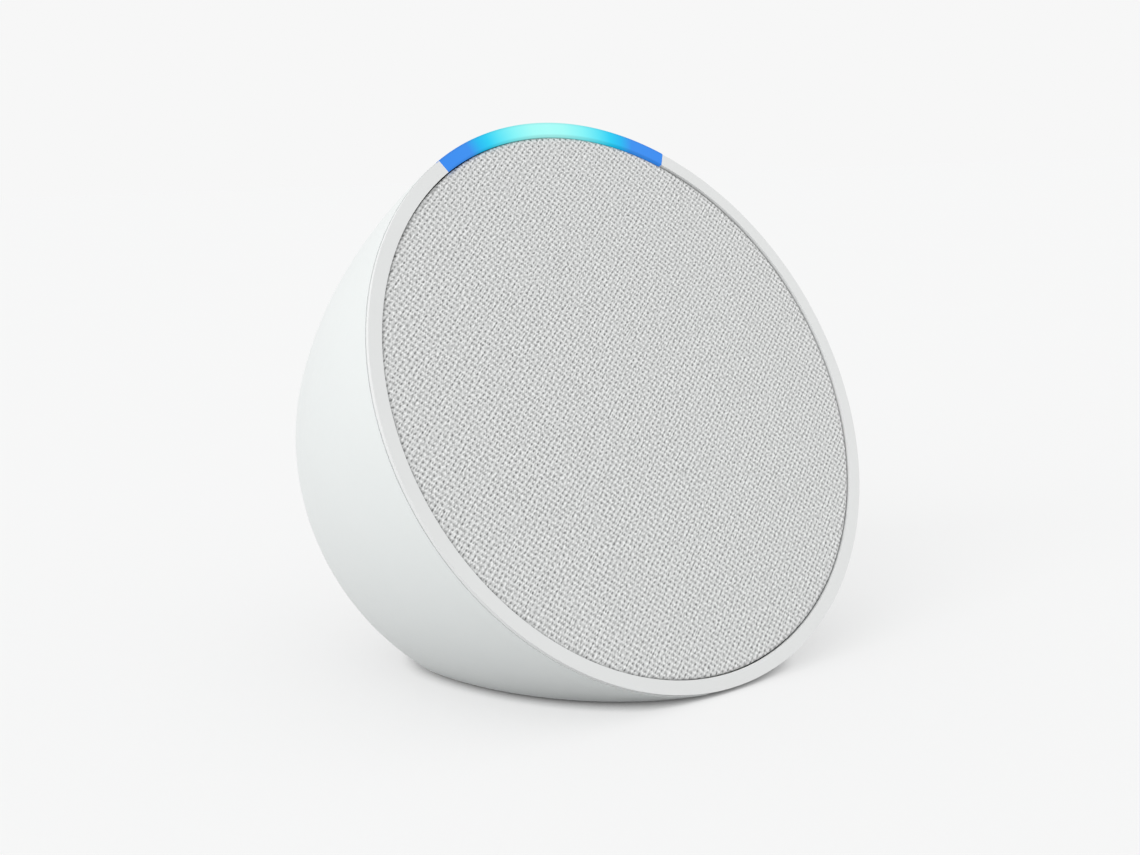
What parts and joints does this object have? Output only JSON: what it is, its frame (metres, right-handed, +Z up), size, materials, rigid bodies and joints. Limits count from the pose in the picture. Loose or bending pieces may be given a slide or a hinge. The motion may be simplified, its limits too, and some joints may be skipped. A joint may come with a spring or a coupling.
{
  "type": "smart speaker",
  "caption": "Compact table-top voice-assistant speaker: round upward-tilted fabric face with a light bar in its rim, on a smooth moulded dome with a flat base.",
  "frame": {"origin": "centre of the bounding box at the underside of the rubber foot", "axes": "+Z up, the fabric face looks towards -Y and is tilted up, +X to the right seen from the front"},
  "size_m": [0.099, 0.0834, 0.0905],
  "materials": {
    "shell_white": "fine satin moulded",
    "rim_white": "satin moulded",
    "light_diffuser": "translucent diffuser, lit from behind",
    "speaker_fabric": "open acoustic knit, white threads over pale grey",
    "inner_plastic": "moulded",
    "circuit_board": "solder mask",
    "led_package": "moulded",
    "cable_film": "polyimide film",
    "screw_steel": "zinc plated",
    "basket_steel": "zinc plated",
    "surround_rubber": "moulded",
    "spider_cloth": "resin-stiffened weave",
    "ferrite": "ground",
    "chip_plastic": "moulded",
    "brass_insert": "turned",
    "pad_rubber": "soft",
    "spreader_metal": "stamped",
    "antenna_ceramic": "fired",
    "inlet_plastic": "satin",
    "contact_metal": "nickel plated",
    "lead_cover": "insulation",
    "foot_rubber": "satin, lightly ribbed",
    "adhesive": "film",
    "cone_paper": "pressed",
    "former_metal": "foil",
    "copper_wire": "enamelled copper",
    "button_white": "satin moulded",
    "plunger_plastic": "moulded"
  },
  "bodies": {
    "root": {"rear_shell": "shell_white", "front_bezel": "rim_white", "light_bar": "light_diffuser", "grille_fabric": "speaker_fabric", "grille_frame": "inner_plastic", "led_board": "circuit_board", "leds": "led_package", "light_cable": "cable_film", "front_baffle": "inner_plastic", "speaker_box": "inner_plastic", "box_screws": "screw_steel", "driver_basket": "basket_steel", "driver_screws": "screw_steel", "cone_surround": "surround_rubber", "spider": "spider_cloth", "top_plate": "basket_steel", "ring_magnet": "ferrite", "yoke": "basket_steel", "driver_terminals": "chip_plastic", "main_board": "circuit_board", "board_standoffs": "brass_insert", "main_board_screws": "screw_steel", "processor": "chip_plastic", "thermal_pad": "pad_rubber", "heat_spreader": "spreader_metal", "wireless_module": "circuit_board", "shield_can": "spreader_metal", "antennas": "antenna_ceramic", "amplifier_chip": "chip_plastic", "capacitors": "spreader_metal", "button_switches": "chip_plastic", "button_board": "circuit_board", "button_board_screws": "screw_steel", "microphones": "spreader_metal", "microphone_gaskets": "pad_rubber", "button_cable": "cable_film", "inlet_collar": "inlet_plastic", "power_jack": "inlet_plastic", "jack_pin": "contact_metal", "jack_spring": "contact_metal", "cable_sockets": "chip_plastic", "speaker_leads": "lead_cover", "power_leads": "lead_cover", "rubber_foot": "foot_rubber", "foot_adhesive": "adhesive", "base_screws": "screw_steel"},
    "cone": {"speaker_cone": "cone_paper", "dust_cap": "cone_paper", "coil_former": "former_metal", "voice_coil": "copper_wire"},
    "volume_down": {"volume_down_button": "button_white", "volume_down_plunger": "plunger_plastic"},
    "volume_up": {"volume_up_button": "button_white", "volume_up_plunger": "plunger_plastic"},
    "mute": {"mute_button": "button_white", "mute_plunger": "plunger_plastic"}
  },
  "joints": [
    {"name": "volume_down_press", "type": "slide", "parent": "root", "child": "volume_down", "axis": [0, -0.5678, -0.8232], "range_m": [0, 0.00035], "stiffness_N_per_m": 400, "springref_m": -0.001},
    {"name": "volume_up_press", "type": "slide", "parent": "root", "child": "volume_up", "axis": [0, -0.5678, -0.8232], "range_m": [0, 0.00035], "stiffness_N_per_m": 400, "springref_m": -0.001},
    {"name": "mute_press", "type": "slide", "parent": "root", "child": "mute", "axis": [0, -0.5678, -0.8232], "range_m": [0, 0.00035], "stiffness_N_per_m": 400, "springref_m": -0.001},
    {"name": "cone_travel", "type": "slide", "parent": "root", "child": "cone", "axis": [0, -0.9063, 0.4226], "range_m": [-0.0015, 0.0015], "stiffness_N_per_m": 300, "deforming": ["cone_surround", "spider"]}
  ]
}
